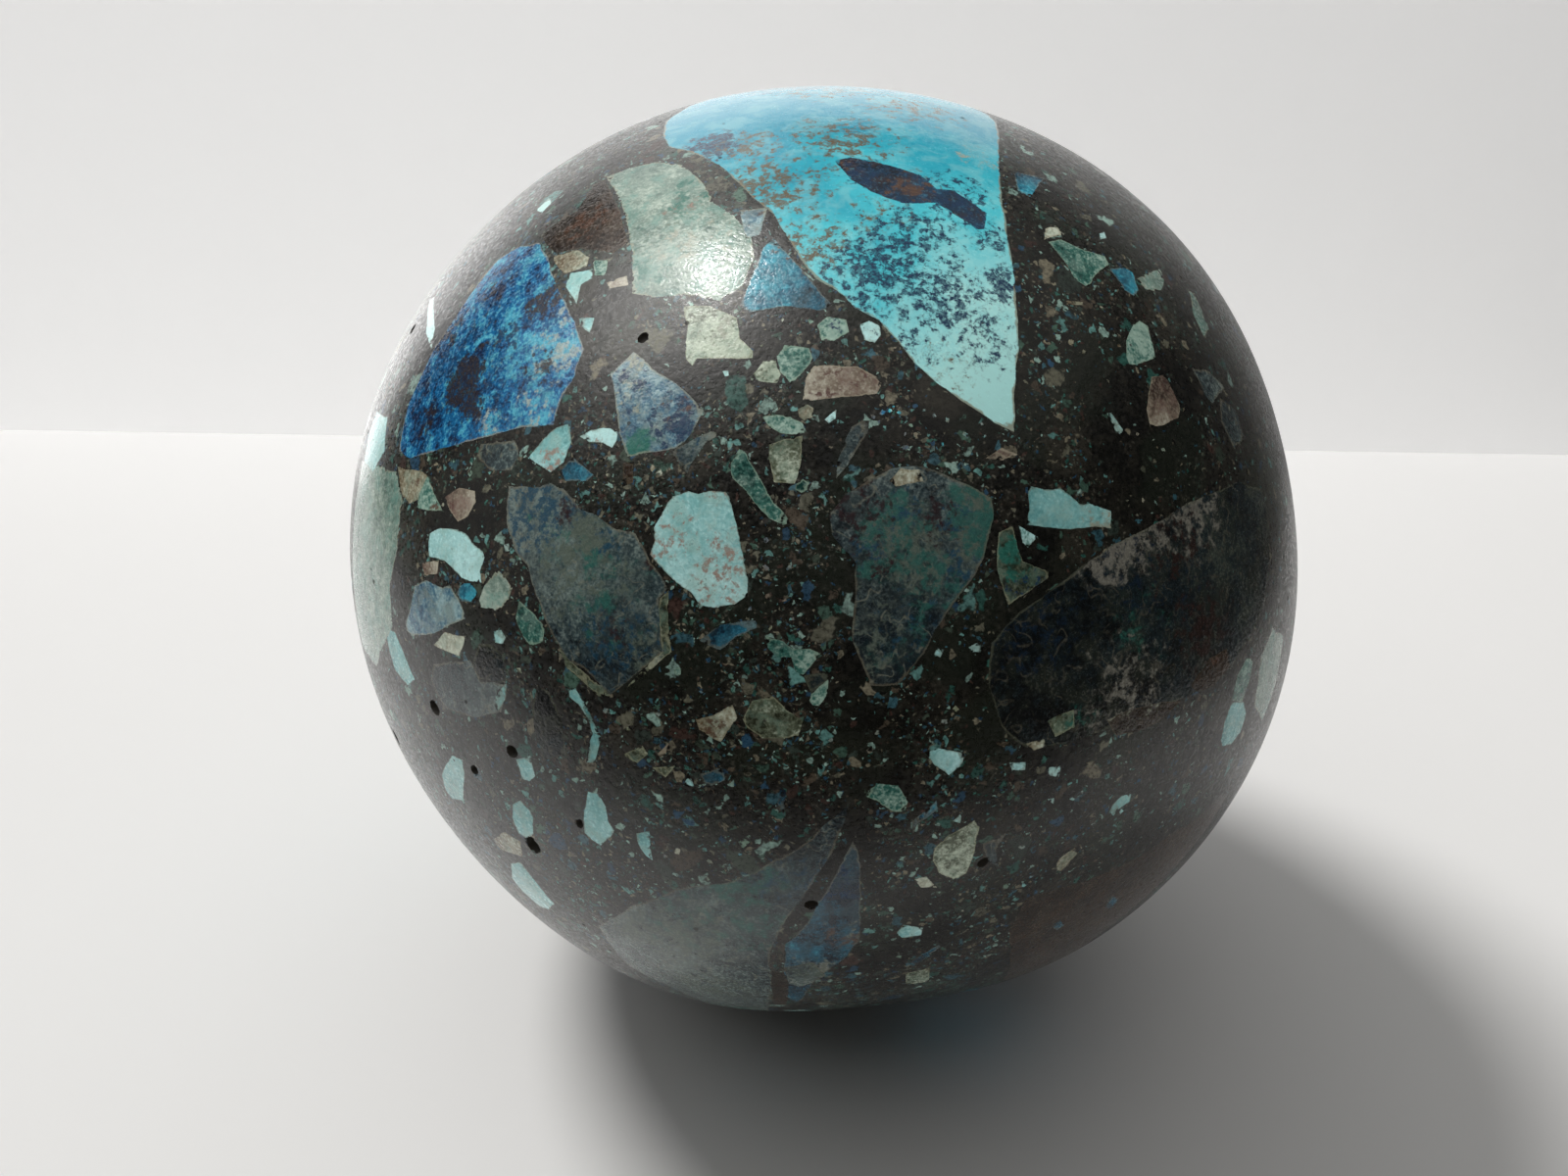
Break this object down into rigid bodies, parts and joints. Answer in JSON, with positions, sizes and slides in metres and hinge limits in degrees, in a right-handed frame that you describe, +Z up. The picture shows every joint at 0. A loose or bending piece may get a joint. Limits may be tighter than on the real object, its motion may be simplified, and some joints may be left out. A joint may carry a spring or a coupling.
{
  "type": "polished stone sphere",
  "caption": "Polished ball of dark rock with flush blue, green and turquoise mineral chips and a small ground flat to rest on.",
  "frame": {"origin": "middle of the small ground flat under the ball", "axes": "+Z up, -Y towards the side with the large turquoise chip at its top, +X to the right of that side"},
  "size_m": [0.0644, 0.0637, 0.0633],
  "materials": {
    "polished_stone": "polished"
  },
  "bodies": {
    "root": {"chrysocolla_ball": "polished_stone"}
  },
  "joints": []
}
